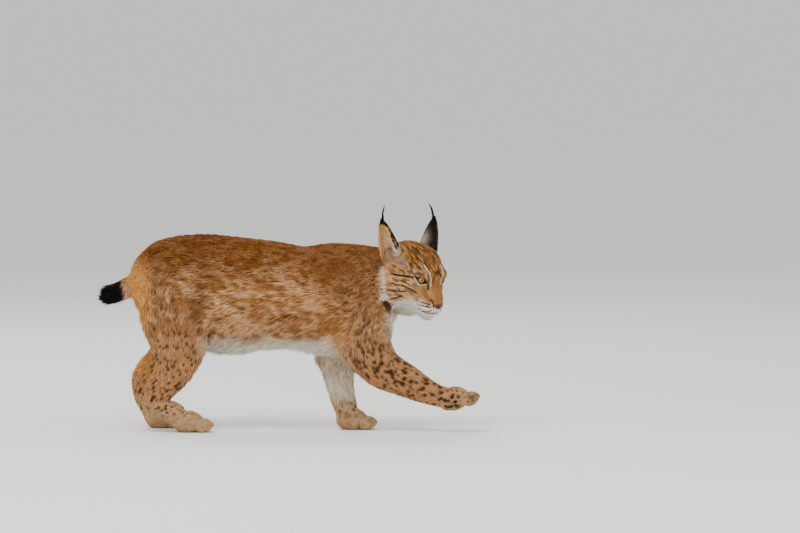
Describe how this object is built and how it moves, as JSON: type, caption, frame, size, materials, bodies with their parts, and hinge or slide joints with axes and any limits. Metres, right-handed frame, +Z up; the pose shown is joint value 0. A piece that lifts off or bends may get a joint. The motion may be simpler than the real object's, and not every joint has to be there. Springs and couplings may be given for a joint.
{
  "type": "eurasian lynx model",
  "caption": "Still life-size model of a Eurasian lynx walking low with one forepaw held forward and its head turned aside, in winter coat, standing on flat soles.",
  "frame": {"origin": "on the floor, under the middle of the animal's box", "axes": "+X forward along the body, +Y to the animal's left, +Z up; millimetres in the STEP files, metres here"},
  "size_m": [0.91, 0.2356, 0.5346],
  "materials": {
    "coat": "dense winter fur, rusty ochre above with dark brown spots, cream below, soft and matt",
    "dark_fur": "black fur of the ear tufts and the tail tip",
    "pale_fur": "long cream fur of the belly, throat and cheeks",
    "eye": "wet glossy eye with an amber iris and a round black pupil",
    "nose": "bare pinkish brown nose leather, dark lips and lids, fine grain, slightly moist",
    "claw": "smooth pale horn, darker at the root",
    "whisker": "stiff white hair, smooth"
  },
  "bodies": {
    "root": {"torso": "coat", "neck": "coat", "head": "coat", "ear_right": "coat", "ear_left": "coat", "eye_right": "eye", "eye_left": "eye", "tail": "coat", "upper_arm_right": "coat", "forearm_right": "coat", "forepaw_right": "coat", "upper_arm_left": "coat", "forearm_left": "coat", "forepaw_left": "coat", "thigh_right": "coat", "shank_right": "coat", "hind_foot_right": "coat", "thigh_left": "coat", "shank_left": "coat", "hind_foot_left": "coat"}
  },
  "joints": []
}
